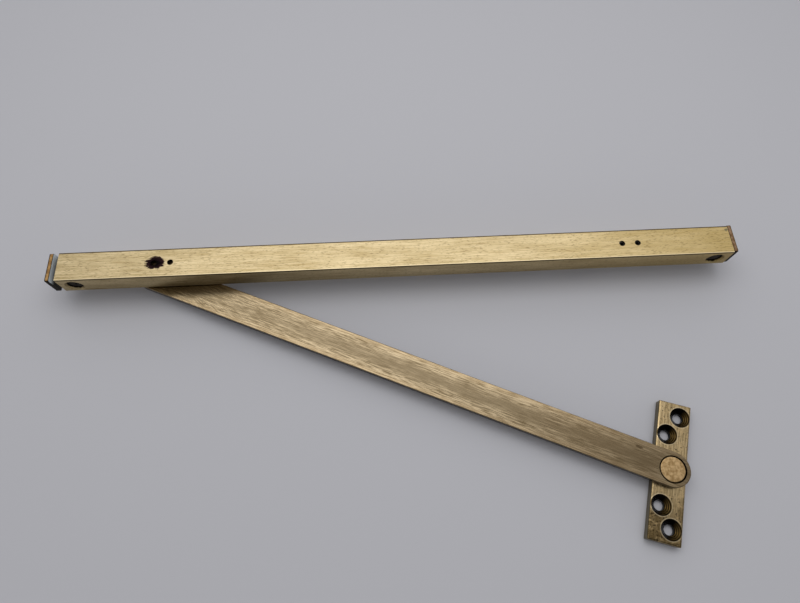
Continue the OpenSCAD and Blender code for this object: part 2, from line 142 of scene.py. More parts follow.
def add(tree, kind, inputs, out=0, **settings):
    """Adds a node with its settings, gives each input a value or a link, and returns one output socket."""
    made = tree.nodes.new("ShaderNode" + kind)
    for name, value in settings.items():
        setattr(made, name, value)
    for key, value in inputs.items():
        if isinstance(value, bpy.types.NodeSocket):
            tree.links.new(value, made.inputs[key])
        else:
            made.inputs[key].default_value = value
    return made.outputs[out] if made.outputs else made


def new_finish(name):
    """A named material with an empty node tree."""
    material = bpy.data.materials.new(name)
    material.use_nodes = True
    material.node_tree.nodes.clear()
    return material, material.node_tree


def dress(material, *names):
    """Gives a material to solid nodes by name."""
    for name in names:
        nodes[name].data.materials.clear()
        nodes[name].data.materials.append(material)


STEP = {"interpolation_type": "SMOOTHSTEP"}
BLEND = {"data_type": "RGBA", "out": 2}
print("brass in linear light:", [round(part, 3) for part in colour("#C9B388")])

# %% [markdown]
# ## Brushed metal
# Brass for door hardware is ground with a belt, which leaves fine parallel scratches. Each scratch
# is a groove some millimetres long and a fraction of a millimetre wide. A noise that is stretched
# along the grain gives them: the Mapping node, set to Texture, takes the grain's place and angle,
# and the length and width of a scratch. Real grit lines are about 0.1 mm wide, finer than the
# picture's pixels, so they are drawn five or six times as wide.

# %% Brush lines


def streaks(tree, place, angle, length_mm, width_mm, detail=2.0):
    """Noise of a point moved to place, turned by -angle and divided by a scratch's length and width."""
    grain = add(tree, "Mapping", {
        "Vector": add(tree, "TexCoord", {}, "Object"), "Location": tuple(place),
        "Rotation": (0.0, 0.0, angle),
        "Scale": (length_mm * MM, width_mm * MM, width_mm * MM)}, vector_type="TEXTURE")
    return add(tree, "TexNoise", {"Vector": grain, "Scale": 1.0, "Detail": detail, "Roughness": 0.55}, "Fac")


def weave(tree, *shares):
    """Weighted sum of several values, given as (value, weight) pairs."""
    total = 0.0
    for value, weight in shares:
        total = add(tree, "Math", {0: value, 1: weight, 2: total}, operation="MULTIPLY_ADD")
    return total


def axis_gap(tree, point, keep, centre):
    """Distance of a point to an axis: both are flattened to the kept coordinates first."""
    flat = add(tree, "VectorMath", {0: point, 1: keep}, operation="MULTIPLY")
    return add(tree, "VectorMath", {0: flat, 1: tuple(centre)}, "Value", operation="DISTANCE")


print("scratches are drawn 0.5 to 0.6 mm wide")

# %% [markdown]
# ## The channel: satin brass
# The channel is extruded brass, belt-ground along its length. Under the bright ground lies a
# scatter of short dark flecks, where the belt lifted the metal, and the lacquer has yellowed at the
# right end. One noise alone would look too even, so long hairs, short flecks and wide clouds are
# mixed.

# %% Satin brass
satin_brass, tree = new_finish("satin brass, belt-ground")
where = add(tree, "TexCoord", {}, "Object").node
point = where.outputs["Object"]
spot = add(tree, "SeparateXYZ", {0: point}).node
facing = add(tree, "SeparateXYZ", {0: where.outputs["Normal"]}).node
front, back, top, foot = channel_low.y, channel_high.y, channel_high.z, channel_low.z
hairs = streaks(tree, (0.0, 0.0, 0.0), 0.0, 18.0, 0.60, 2.0)
flecks = streaks(tree, (0.1, 0.2, 0.0), 0.0, 3.0, 0.55, 1.0)
clouds = streaks(tree, (0.3, 0.1, 0.0), 0.0, 60.0, 10.0, 1.0)
tone = weave(tree, (hairs, 0.70), (clouds, 0.30))
brass = add(tree, "Mix", {0: add(tree, "MapRange", {0: tone, 1: 0.35, 2: 0.65}),
                          6: colour("#AC976A"), 7: colour("#E1CEA4")}, **BLEND)
yellowed = add(tree, "MapRange", {0: spot.outputs["X"], 1: 0.10, 2: channel_high.x, 4: 0.65})
brass = add(tree, "Mix", {0: yellowed, 6: brass, 7: colour("#BFA566")}, **BLEND)
lifted = add(tree, "MapRange", {0: flecks, 1: 0.56, 2: 0.72, 4: 0.65})
brass = add(tree, "Mix", {0: lifted, 6: brass, 7: colour("#75613A")}, **BLEND)
print("channel is ground along its %.0f mm" % ((channel_high.x - channel_low.x) / MM))

# %% [markdown]
# ## The channel's edges
# The long edges: a painted highlight runs along the front one, with a line of painted shade under it,
# and the back one is darker. The front face is darkened towards its foot with painted shade. Each
# mark is a band of one coordinate, and a normal or a height keeps it on its own face.

# %% Edges of the channel
# Painted highlight: a bright line along the front edge of the top face.
edge_highlight = add(tree, "MapRange", {0: spot.outputs["Y"], 1: front + 1.2 * MM, 2: front + 0.4 * MM}, **STEP)
upward = add(tree, "MapRange", {0: facing.outputs["Z"], 1: 0.60, 2: 0.90}, **STEP)
edge_highlight = add(tree, "Math", {0: edge_highlight, 1: upward}, operation="MULTIPLY")
brass = add(tree, "Mix", {0: edge_highlight, 6: brass, 7: colour("#E9D8AE")}, **BLEND)
above = add(tree, "MapRange", {0: spot.outputs["Z"], 1: top - 1.4 * MM, 2: top - 0.6 * MM}, **STEP)
# Painted shade: a dark line along the top of the front face, under the bright edge.
front_shade_line = add(tree, "MapRange", {0: spot.outputs["Z"], 1: top - 1.7 * MM, 2: top - 0.9 * MM}, **STEP)
forward = add(tree, "MapRange", {0: facing.outputs["Y"], 1: -0.50, 2: -0.85}, **STEP)
front_shade_line = add(tree, "Math", {0: front_shade_line, 1: forward}, operation="MULTIPLY")
behind = add(tree, "MapRange", {0: spot.outputs["Y"], 1: back - 1.4 * MM, 2: back - 0.6 * MM}, **STEP)
behind = add(tree, "Math", {0: behind, 1: above}, operation="MULTIPLY")
# The painted shade line and the darker back edge share one dark colour.
shade_and_dark_back_edge = add(tree, "Math", {0: front_shade_line, 1: behind}, operation="MAXIMUM")
brass = add(tree, "Mix", {0: shade_and_dark_back_edge, 6: brass, 7: colour("#43361C")}, **BLEND)
# Painted shade: the front face darkens towards its foot.
foot_shade = add(tree, "MapRange", {0: spot.outputs["Z"], 1: top, 2: foot, 3: 0.05, 4: 0.35})
foot_shade = add(tree, "Math", {0: foot_shade, 1: forward}, operation="MULTIPLY")
brass = add(tree, "Mix", {0: foot_shade, 6: brass, 7: colour("#5B4C2E")}, **BLEND)
print("front face is %.1f mm high" % ((top - foot) / MM))

# %% [markdown]
# ## Black holes
# The pin holes are painted black inside as shade, and so is the deeper part of the screws'
# countersinks, while their mouths still show brass. The frame doesn't list the pin holes, so their
# places along the track are given here. The holes lie alike at either end, so one distance does for
# both once X has lost its sign.

# %% Holes
PIN_HOLES_MM = (193.675, 180.975)
PIN_RADIUS_MM = 2.4
CONE_RADIUS_MM = 7.4
CRUMB_MM = 2.0
track_y = (front + back) / 2
door_screws = mounts["door_screws"]
folded = add(tree, "VectorMath", {0: point}, operation="ABSOLUTE")
pins = [axis_gap(tree, folded, (1.0, 1.0, 0.0), (place * MM, -track_y, 0.0)) for place in PIN_HOLES_MM]
# Painted shade: the pin holes are black inside.
pin = add(tree, "Math", {0: pins[0], 1: pins[1]}, operation="MINIMUM")
pin = add(tree, "MapRange", {0: pin, 1: (PIN_RADIUS_MM + 0.1) * MM, 2: (PIN_RADIUS_MM - 0.1) * MM}, **STEP)
brass = add(tree, "Mix", {0: pin, 6: brass, 7: colour("#040302")}, **BLEND)
screw = axis_gap(tree, folded, (1.0, 0.0, 1.0), (door_screws["dims"]["spacing_x_mm"] / 2 * MM, 0.0, 0.0))
cone = add(tree, "MapRange", {
    0: screw, 1: (CONE_RADIUS_MM + 0.2) * MM, 2: (CONE_RADIUS_MM - 0.1) * MM}, **STEP)
crumbs = add(tree, "TexNoise", {
    "Vector": point, "Scale": 1 / (CRUMB_MM * MM), "Detail": 2.0}, "Fac")
depth = weave(tree, (crumbs, 1.6 * MM), (spot.outputs["Y"], 1.0))
# Painted shade: the screws' countersinks go black with depth, while their mouths stay brass.
deep_shade = add(tree, "MapRange", {0: depth, 1: front + 1.6 * MM, 2: front + 2.6 * MM, 3: 0.25}, **STEP)
cone = add(tree, "Math", {0: cone, 1: deep_shade}, operation="MULTIPLY")
for face_on, edge_on in ((-0.95, -0.80), (0.50, 0.20)):
    cut = add(tree, "MapRange", {0: facing.outputs["Y"], 1: face_on, 2: edge_on})
    cone = add(tree, "Math", {0: cone, 1: cut}, operation="MULTIPLY")
brass = add(tree, "Mix", {0: cone, 6: brass, 7: colour("#0C0906")}, **BLEND)
print("pin holes %.3f and %.3f mm from the middle" % PIN_HOLES_MM)

# %% [markdown]
# ## A speck and a burn
# A grey-green speck sits in the right back corner. Round one of the left pin holes is a burn, a
# ragged blotch drawn out into whiskers along the grain: its distance from the hole, with a streaked
# noise added, breaks the rim up, and the noise reaches further to the left. A height in both masks
# keeps them on the top.

# %% Speck and burn
SPECK_MM, SPECK_RADIUS_MM = (1.4, 3.6), 1.7
BURN_REACH_MM, BURN_SHIFT_MM = (7.6, 5.6), 0.8
speck = axis_gap(tree, point, (1.0, 1.0, 0.0),
                 (channel_high.x - SPECK_MM[0] * MM, back - SPECK_MM[1] * MM, 0.0))
speck = weave(tree, (crumbs, 1.6 * MM), (speck, 1.0))
speck = add(tree, "MapRange", {
    0: speck, 1: (SPECK_RADIUS_MM + 0.8) * MM, 2: SPECK_RADIUS_MM * MM, 4: 0.7}, **STEP)
speck = add(tree, "Math", {0: speck, 1: above}, operation="MULTIPLY")
brass = add(tree, "Mix", {0: speck, 6: brass, 7: colour("#5E6152")}, **BLEND)

burn_place = ((BURN_SHIFT_MM - PIN_HOLES_MM[0]) * MM, track_y, top)
from_burn = add(tree, "Mapping", {
    "Vector": point, "Location": burn_place,
    "Scale": (BURN_REACH_MM[0] * MM, BURN_REACH_MM[1] * MM, 1.0)}, vector_type="TEXTURE")
reach = axis_gap(tree, from_burn, (1.0, 1.0, 0.0), (0.0, 0.0, 0.0))
leftward = add(tree, "SeparateXYZ", {0: from_burn}, "X")
whisker = add(tree, "MapRange", {0: leftward, 1: -0.3, 2: -1.0, 3: 0.9, 4: 1.7})
ragged = streaks(tree, (0.05, 0.02, 0.0), 0.0, 3.6, 0.75, 2.0)
ragged = add(tree, "Math", {0: ragged, 1: 0.5}, operation="SUBTRACT")
whisker = add(tree, "Math", {0: whisker, 1: ragged}, operation="MULTIPLY")
frayed = add(tree, "Math", {0: reach, 1: whisker}, operation="ADD")
burn = add(tree, "MapRange", {0: frayed, 1: 1.02, 2: 0.90}, **STEP)
burn = add(tree, "Math", {0: burn, 1: above}, operation="MULTIPLY")
char = add(tree, "Mix", {0: add(tree, "MapRange", {0: frayed, 1: 0.45, 2: 0.95}),
                         6: colour("#0B0708"), 7: colour("#2C1A1C")}, **BLEND)
shader = add(tree, "BsdfPrincipled", {
    "Base Color": add(tree, "Mix", {0: burn, 6: brass, 7: char}, **BLEND), "Metallic": 1.0,
    "Roughness": add(tree, "MapRange", {0: hairs, 1: 0.3, 2: 0.7, 3: 0.42, 4: 0.54}),
    "Normal": add(tree, "Bump", {"Height": hairs, "Strength": 1.0, "Distance": 0.02 * MM})})
add(tree, "OutputMaterial", {"Surface": shader})
dress(satin_brass, "channel")
print("burn at x = %.1f mm" % (burn_place[0] / MM))

# %% [markdown]
# ## Antique brass
# The arm and the bracket are brassed, darkened in a bath and then rubbed back on their faces, so
# brown stays between the scratches. One function gives both their scratches, along each bar's own
# line, as equal shares of long hairs and short dashes.

# %% Antique brass


def antique_brass(name, place, angle, dark, light):
    """Brown and bright scratches along a bar: gives the material, its tree, colour, roughness and bump."""
    material, tree = new_finish(name)
    hairs = streaks(tree, place, angle, 22.0, 0.55, 1.0)
    dashes = streaks(tree, place + 0.1, angle, 7.0, 0.60, 2.0)
    tone = weave(tree, (hairs, 0.50), (dashes, 0.50))
    brass = add(tree, "Mix", {0: add(tree, "MapRange", {0: tone, 1: 0.40, 2: 0.60}),
                              6: colour(dark), 7: colour(light)}, **BLEND)
    normal = add(tree, "Bump", {"Height": tone, "Strength": 1.0, "Distance": 0.03 * MM})
    rough = add(tree, "MapRange", {0: hairs, 1: 0.3, 2: 0.7, 3: 0.19, 4: 0.27})
    return material, tree, brass, rough, normal


print("antique brass is rubbed along %.1f and %.1f degrees" % tuple(np.degrees([arm_angle, bracket_angle])))

# %% [markdown]
# ## The arm
# On the arm, the belt pressed hardest near the edges, which are warm and bright, and left a patchy
# brown along the middle whose share grows towards the rivet, partly as painted shade. A Mapping node
# turns each point into the arm's own line, with 0 at the stud, 1 at the rivet and 1 at either edge,
# so a wear pattern is a range of those.

# %% Arm
arm_length = np.linalg.norm(pivot - stud)
ARM_HALF_MM = 12.7
arm_brass, tree, brass, rough, normal = antique_brass(
    "antique brass, rubbed arm", stud, arm_angle, "#5C4E37", "#A8977A")
where = add(tree, "TexCoord", {}, "Object").node
point = where.outputs["Object"]
bar = add(tree, "Mapping", {
    "Vector": point, "Location": tuple(stud), "Rotation": (0.0, 0.0, arm_angle),
    "Scale": (arm_length, ARM_HALF_MM * MM, 1.0)}, vector_type="TEXTURE")
bar = add(tree, "SeparateXYZ", {0: bar}).node
from_middle = add(tree, "Math", {0: bar.outputs["Y"]}, operation="ABSOLUTE")
patches = streaks(tree, stud + 0.2, arm_angle, 24.0, 5.0, 3.0)
middle = weave(tree, (patches, -1.2), (from_middle, 1.0))
middle = add(tree, "MapRange", {0: middle, 1: 0.15, 2: -0.55}, **STEP)
# The brown patches are the arm's own; their growing share towards the rivet is partly painted shade.
patch_share_and_shade = add(tree, "MapRange", {0: bar.outputs["X"], 1: 0.15, 2: 0.50, 3: 0.30, 4: 0.75})
brass = add(tree, "Mix", {0: add(tree, "Math", {0: middle, 1: patch_share_and_shade}, operation="MULTIPLY"),
                          6: brass, 7: colour("#665944")}, **BLEND)
worn = add(tree, "MapRange", {0: from_middle, 1: 0.60, 2: 0.95, 4: 0.35}, **STEP)
brass = add(tree, "Mix", {0: worn, 6: brass, 7: colour("#A08A69")}, **BLEND)
print("arm is rubbed along its %.0f mm between pivots" % (arm_length / MM))

# %% [markdown]
# ## Marks on the arm
# The stud end was also rubbed askew, the rivet's end is darkened with painted shade, and a short
# nick there has filled with dirt. The walls that the belt never touched keep the dark coat whole,
# deepened with painted shade, and the seat of the rivet's head is painted dark as shade: the shader
# finds them by their normals and heights.

# %% Marks on the arm
CROSS_TURN = math.radians(24)
NICK_PLACE_MM, NICK_HALF_MM = (402.5, 6.9, 0.0), (3.2, 1.2, 3.0)
crossed = streaks(tree, stud + 0.4, arm_angle - CROSS_TURN, 14.0, 0.50, 1.0)
crossed = add(tree, "MapRange", {0: crossed, 1: 0.46, 2: 0.60})
fading = add(tree, "MapRange", {0: bar.outputs["X"], 1: 0.08, 2: 0.34, 3: 0.65, 4: 0.0})
crossed = add(tree, "Math", {0: crossed, 1: fading}, operation="MULTIPLY")
brass = add(tree, "Mix", {0: crossed, 6: brass, 7: colour("#54472F")}, **BLEND)
nick = add(tree, "Mapping", {
    "Vector": point, "Location": tuple(stud), "Rotation": (0.0, 0.0, arm_angle),
    "Scale": (MM, MM, MM)}, vector_type="TEXTURE")
nick = add(tree, "VectorMath", {0: nick, 1: NICK_PLACE_MM}, operation="SUBTRACT")
nick = add(tree, "VectorMath", {0: nick, 1: tuple(1 / half for half in NICK_HALF_MM)}, operation="MULTIPLY")
nick = add(tree, "VectorMath", {0: nick}, "Value", operation="LENGTH")
nick = add(tree, "MapRange", {0: nick, 1: 1.1, 2: 0.6, 4: 0.8}, **STEP)
brass = add(tree, "Mix", {0: nick, 6: brass, 7: colour("#2E2516")}, **BLEND)
# Painted shade: the arm darkens towards the rivet's end.
rivet_end_shade = add(tree, "MapRange", {0: bar.outputs["X"], 1: 0.66, 2: 0.92, 4: 0.40}, **STEP)
brass = add(tree, "Mix", {0: rivet_end_shade, 6: brass, 7: colour("#6E5B3F")}, **BLEND)
upright = add(tree, "SeparateXYZ", {0: where.outputs["Normal"]}, "Z")
upright = add(tree, "Math", {0: upright}, operation="ABSOLUTE")
wall = add(tree, "MapRange", {0: upright, 1: 0.75, 2: 0.35}, **STEP)
level = add(tree, "SeparateXYZ", {0: point}, "Z")
# Painted shade: the seat of the rivet's head, a recess, is painted dark.
seat_shade = add(tree, "MapRange", {0: level, 1: arm_high.z - 0.7 * MM, 2: arm_high.z - 1.0 * MM}, **STEP)
inner = add(tree, "MapRange", {0: level, 1: arm_low.z + 0.2 * MM, 2: arm_low.z + 0.5 * MM}, **STEP)
seat_shade = add(tree, "Math", {0: seat_shade, 1: inner}, operation="MULTIPLY")
# The walls keep a dark coat, deepened with painted shade.
coat_and_shade = add(tree, "Math", {0: wall, 1: seat_shade}, operation="MAXIMUM")
brass = add(tree, "Mix", {0: coat_and_shade, 6: brass, 7: colour("#171209")}, **BLEND)
shader = add(tree, "BsdfPrincipled", {
    "Base Color": brass, "Metallic": 1.0, "Roughness": rough, "Normal": normal})
add(tree, "OutputMaterial", {"Surface": shader})
dress(arm_brass, "arm")
print("nick %.1f mm from the stud" % NICK_PLACE_MM[0])

# %% [markdown]
# ## The bracket
# The bracket is rubbed like the arm and mottled, and its lower end is pitted and darker, partly
# dirt and partly painted shade. That darkening, which grows to one end, is a streaked noise added to
# the distance along the bar. The walls keep a plain grey-brown coat.

# %% Bracket
MOTTLE_MM, PIT_MM = 3.5, 1.3
bracket_brass, tree, brass, rough, normal = antique_brass(
    "antique brass, rubbed bracket", pivot, bracket_angle, "#85724F", "#B9A37B")
where = add(tree, "TexCoord", {}, "Object").node
point = where.outputs["Object"]
bar = add(tree, "Mapping", {
    "Vector": point, "Location": tuple(pivot), "Rotation": (0.0, 0.0, bracket_angle),
    "Scale": (MM, MM, 1.0)}, vector_type="TEXTURE")
# Darker towards the lower end: partly dirt, partly painted shade.
grime_and_shade = streaks(tree, pivot + 0.3, bracket_angle, 14.0, 3.0, 2.0)
grime_and_shade = weave(tree, (grime_and_shade, 30.0), (add(tree, "SeparateXYZ", {0: bar}, "X"), 1.0))
grime_and_shade = add(tree, "MapRange", {0: grime_and_shade, 1: 6.0, 2: -30.0, 4: 0.85}, **STEP)
brass = add(tree, "Mix", {0: grime_and_shade, 6: brass, 7: colour("#57472A")}, **BLEND)
mottle = add(tree, "TexNoise", {
    "Vector": point, "Scale": 1 / (MOTTLE_MM * MM), "Detail": 4.0}, "Fac")
brass = add(tree, "Mix", {0: add(tree, "MapRange", {0: mottle, 1: 0.50, 2: 0.70, 4: 0.45}), 6: brass,
                          7: colour("#C9AE80")}, **BLEND)
pits = add(tree, "TexNoise", {
    "Vector": point, "Scale": 1 / (PIT_MM * MM), "Detail": 1.0}, "Fac")
pits = add(tree, "MapRange", {0: weave(tree, (pits, 1.0), (grime_and_shade, 0.10)), 1: 0.62, 2: 0.74, 4: 0.8})
brass = add(tree, "Mix", {0: pits, 6: brass, 7: colour("#2C2212")}, **BLEND)
upward = add(tree, "SeparateXYZ", {0: where.outputs["Normal"]}, "Z")
wall = add(tree, "MapRange", {0: upward, 1: 0.75, 2: 0.35}, **STEP)
brass = add(tree, "Mix", {0: wall, 6: brass, 7: colour("#6E644C")}, **BLEND)
print("bracket is mottled every %.1f mm" % MOTTLE_MM)

# %% [markdown]
# ## The countersinks
# The cutter that made the countersinks left rings in them, and the dark coat was never rubbed out.
# The rings are painted lighter only on the side that faces a fixed direction towards the lamp, as
# painted light, and the rest of each countersink stays near black, the coat deepened as painted
# shade. The distance to the nearest hole draws the rings. Real rings are about 0.3 mm apart: they
# are drawn at 1 mm to show.

# %% Countersinks
RING_MM = 1.0
PAINTED_LIGHT_SIDE = (-0.75, 0.65, 0.0)
gaps = [axis_gap(tree, point, (1.0, 1.0, 0.0), (hole[0], hole[1], 0.0))
        for hole in bracket_holes]
nearest = gaps[0]
for gap in gaps[1:]:
    nearest = add(tree, "Math", {0: nearest, 1: gap}, operation="MINIMUM")
rim = add(tree, "MapRange", {
    0: nearest, 1: (CONE_RADIUS_MM + 1.0) * MM, 2: (CONE_RADIUS_MM + 0.3) * MM, 4: 0.32}, **STEP)
face_up = add(tree, "MapRange", {0: upward, 1: 0.35, 2: 0.75}, **STEP)
rim = add(tree, "Math", {0: rim, 1: face_up}, operation="MULTIPLY")
brass = add(tree, "Mix", {0: rim, 6: brass, 7: colour("#E6D6B2")}, **BLEND)
wave = add(tree, "Math", {0: nearest, 1: 2 * math.pi / (RING_MM * MM)}, operation="MULTIPLY")
rings = add(tree, "MapRange", {0: add(tree, "Math", {0: wave}, operation="SINE"), 1: -0.5, 2: 1.0}, **STEP)
# Painted light: the rings show only on the side facing a fixed direction towards the lamp; the rest stays near
# black.
painted_light_facing = add(tree, "VectorMath", {0: where.outputs["Normal"], 1: PAINTED_LIGHT_SIDE}, "Value",
               operation="DOT_PRODUCT")
painted_light_rings = add(tree, "MapRange", {0: painted_light_facing, 1: 0.0, 2: 0.65})
painted_light_rings = add(tree, "Math", {0: rings, 1: painted_light_rings}, operation="MULTIPLY")
cut = add(tree, "Mix", {0: painted_light_rings, 6: colour("#0D0A06"), 7: colour("#8A7040")}, **BLEND)
inside = add(tree, "MapRange", {
    0: nearest, 1: (CONE_RADIUS_MM + 0.2) * MM, 2: (CONE_RADIUS_MM - 0.1) * MM}, **STEP)
not_foot = add(tree, "MapRange", {0: upward, 1: -0.50, 2: -0.20}, **STEP)
inside = add(tree, "Math", {0: inside, 1: not_foot}, operation="MULTIPLY")
brass = add(tree, "Mix", {0: inside, 6: brass, 7: cut}, **BLEND)
grooves = add(tree, "Bump", {"Height": rings, "Strength": inside, "Distance": 0.08 * MM, "Normal": normal})
shader = add(tree, "BsdfPrincipled", {
    "Base Color": brass, "Metallic": 1.0, "Roughness": rough, "Normal": grooves})
add(tree, "OutputMaterial", {"Surface": shader})
dress(bracket_brass, "frame_bracket")
print("rings in %d countersinks" % len(bracket_holes))

# %% [markdown]
# ## The rivet and the stud: turned brass
# The pivot heads were faced in a lathe and rubbed by hand, so they are brighter than the bar round
# them, with a fine mottle. Real turning rings are about 0.1 mm apart: they are drawn at 0.7 mm to
# show. Inside the track, old grease has turned the stud black.

# %% Turned brass
TURNING_MM, RUB_MM = 0.7, 1.8


def turned_brass(name, centre, grease_level):
    """Mottled bright brass with faint rings about an axis, black with grease above a level."""
    material, tree = new_finish(name)
    where = add(tree, "TexCoord", {}, "Object")
    from_axis = add(tree, "Mapping", {"Vector": where, "Location": tuple(centre), "Scale": (MM, MM, 1.0)},
                    vector_type="TEXTURE")
    radius = add(tree, "VectorMath", {0: from_axis}, "Value", operation="LENGTH")
    rings = add(tree, "Math", {0: radius, 1: 2 * math.pi / TURNING_MM}, operation="MULTIPLY")
    rings = add(tree, "Math", {0: rings}, operation="SINE")
    mottle = add(tree, "TexNoise", {"Vector": where, "Scale": 1 / (RUB_MM * MM), "Detail": 4.0}, "Fac")
    tone = weave(tree, (rings, 0.03), (mottle, 1.0))
    brass = add(tree, "Mix", {0: add(tree, "MapRange", {0: tone, 1: 0.35, 2: 0.65}),
                              6: colour("#977A50"), 7: colour("#C8AA7C")}, **BLEND)
    level = add(tree, "SeparateXYZ", {0: where}, "Z")
    grease = add(tree, "MapRange", {0: level, 1: grease_level, 2: grease_level + MM}, **STEP)
    brass = add(tree, "Mix", {0: grease, 6: brass, 7: colour("#1A1612")}, **BLEND)
    shader = add(tree, "BsdfPrincipled", {
        "Base Color": brass, "Metallic": 1.0,
        "Roughness": add(tree, "MapRange", {0: mottle, 1: 0.3, 2: 0.7, 3: 0.36, 4: 0.50}),
        "Normal": add(tree, "Bump", {"Height": tone, "Strength": 1.0, "Distance": 0.03 * MM})})
    add(tree, "OutputMaterial", {"Surface": shader})
    return material


rivet_brass = turned_brass("turned brass, rivet", pivot, channel_high.z)
dress(turned_brass("turned brass, stud", stud, channel_low.z), "arm_stud")
print("turned brass on both pivots")

# %% [markdown]
# ## The end plates
# Each end plate is a stamping: its top edge has gone orange-brown between two dark seams, its front
# edge is painted black as shade, and its inner face is bare zinc, dull and blue-grey, painted dark
# towards its foot as shade. The left plate has worked loose, so that face shows. The outer face is
# dull bronze, which is a guess, because the photograph doesn't show it. The shader tells the faces
# apart by their normals.

# %% Stamped plate
PLATE_MM, PLATE_GRAIN_MM = 3.2, 3.0


def stamped_plate(name, node, inward, rim_dark, rim_light, seam_dirt):
    """Brown rim between dark seams, edges painted black as shade, bronze on the outer face and bare zinc on the
    inner one.
    """
    material, tree = new_finish(name)
    low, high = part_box(node)
    outer = low.x if inward > 0 else high.x
    where = add(tree, "TexCoord", {}, "Object").node
    point = where.outputs["Object"]
    facing = add(tree, "SeparateXYZ", {0: where.outputs["Normal"]}).node
    spot = add(tree, "SeparateXYZ", {0: point}).node
    mottle = add(tree, "TexNoise", {
        "Vector": point, "Scale": 1 / (PLATE_GRAIN_MM * MM), "Detail": 3.0}, "Fac")
    rim = add(tree, "Mix", {0: add(tree, "MapRange", {0: mottle, 1: 0.35, 2: 0.65}),
                            6: colour(rim_dark), 7: colour(rim_light)}, **BLEND)
    middle = outer + inward * PLATE_MM / 2 * MM
    from_middle = add(tree, "Math", {0: spot.outputs["X"], 1: middle}, operation="SUBTRACT")
    from_middle = add(tree, "Math", {0: from_middle}, operation="ABSOLUTE")
    seam = add(tree, "MapRange", {
        0: from_middle, 1: (PLATE_MM / 2 - 0.75) * MM, 2: (PLATE_MM / 2 - 0.35) * MM}, **STEP)
    # Painted shade: the edges that don't face up are black.
    turned = add(tree, "MapRange", {0: facing.outputs["Z"], 1: 0.90, 2: 0.50}, **STEP)
    rim = add(tree, "Mix", {0: seam, 6: rim, 7: colour(seam_dirt)}, **BLEND)
    rim = add(tree, "Mix", {0: turned, 6: rim, 7: colour("#1E1912")}, **BLEND)
    outside = add(tree, "MapRange", {0: facing.outputs["X"], 1: -0.5 * inward, 2: -0.8 * inward}, **STEP)
    face = add(tree, "Mix", {0: add(tree, "MapRange", {0: mottle, 1: 0.35, 2: 0.65}),
                             6: colour("#6A5232"), 7: colour("#94784C")}, **BLEND)
    rim = add(tree, "Mix", {0: outside, 6: rim, 7: face}, **BLEND)
    bare = add(tree, "MapRange", {0: facing.outputs["X"], 1: 0.5 * inward, 2: 0.8 * inward}, **STEP)
    # Painted shade: the inner face goes dark towards its foot.
    zinc = add(tree, "MapRange", {0: spot.outputs["Z"], 1: 2 * MM, 2: 8 * MM}, **STEP)
    zinc = add(tree, "Mix", {0: zinc, 6: colour("#2B2A28"), 7: colour("#D3DDE4")}, **BLEND)
    shader = add(tree, "BsdfPrincipled", {
        "Base Color": add(tree, "Mix", {0: bare, 6: rim, 7: zinc}, **BLEND),
        "Metallic": add(tree, "MapRange", {0: bare, 3: 1.0, 4: 0.0}), "Roughness": 0.55,
        "Normal": add(tree, "Bump", {"Height": mottle, "Strength": 1.0, "Distance": 0.05 * MM})})
    add(tree, "OutputMaterial", {"Surface": shader})
    return material


left_bronze = stamped_plate("stamped plate, left", "left_end_plate", 1.0, "#8E6C42", "#B8935F", "#2A241A")
right_bronze = stamped_plate("stamped plate, right", "right_end_plate", -1.0, "#785C42", "#A2866A", "#5E4A26")
dress(left_bronze, "left_end_plate")
dress(right_bronze, "right_end_plate")
print("end plates are dressed")

# %% [markdown]
# ## The pieces inside the track
# Through the slot show the blocks, the spring and the slide. They are plain hardware: blackened and
# zinc-plated blocks, oiled spring steel, a greasy bronze slide, nylon washers and one rubber
# button. One function makes them all, with a mottle at the scale of each finish.

# %% Hardware finishes


def hardware(name, dark, light, grain_mm, metallic, roughness, depth_mm):
    """A mottled finish: noise of one grain size picks between two colours and two roughnesses."""
    material, tree = new_finish(name)
    where = add(tree, "TexCoord", {}, "Object")
    mottle = add(tree, "TexNoise", {"Vector": where, "Scale": 1 / (grain_mm * MM), "Detail": 4.0}, "Fac")
    tone = add(tree, "MapRange", {0: mottle, 1: 0.35, 2: 0.65})
    shader = add(tree, "BsdfPrincipled", {
        "Base Color": add(tree, "Mix", {0: tone, 6: colour(dark), 7: colour(light)}, **BLEND),
        "Metallic": metallic,
        "Roughness": add(tree, "MapRange", {0: tone, 3: roughness - 0.06, 4: roughness + 0.06}),
        "Normal": add(tree, "Bump", {"Height": mottle, "Strength": 1.0, "Distance": depth_mm * MM})})
    add(tree, "OutputMaterial", {"Surface": shader})
    return material


black_steel = hardware("blackened steel", "#2A2826", "#46423E", 2.5, 1.0, 0.45, 0.03)
zinc_plate = hardware("zinc-plated steel", "#8F9499", "#B5B9BC", 2.5, 1.0, 0.38, 0.02)
spring_steel = hardware("oiled spring steel", "#3A3735", "#5A5652", 3.0, 1.0, 0.32, 0.02)
bronze = hardware("greasy cast bronze", "#1C1610", "#3A2E20", 1.6, 1.0, 0.45, 0.04)
nylon = hardware("natural nylon", "#D9D4C4", "#E6E2D5", 2.0, 0.0, 0.50, 0.02)
rubber = hardware("moulded rubber", "#161616", "#242424", 0.8, 0.0, 0.70, 0.03)
dress(black_steel, "left_end_block", "right_end_block", "stop_pins")
dress(zinc_plate, "stop_block", "buffer_block", "clip_rivets")
dress(spring_steel, "guide_bolt", "hold_open_clip")
dress(bronze, "slide_block")
dress(nylon, "stud_washer", "bracket_washer")
dress(rubber, "bumper_pad")
print("inner pieces are dressed")

# %% [markdown]
# ## The shock spring
# The spring behind the buffer is round wire wound on a mandrel, with its end coils closed. The
# solid model's spring has eight flat sides, so this one takes its place: a circle carried along a
# helix, worked out as one grid of points. It sits in the same box.

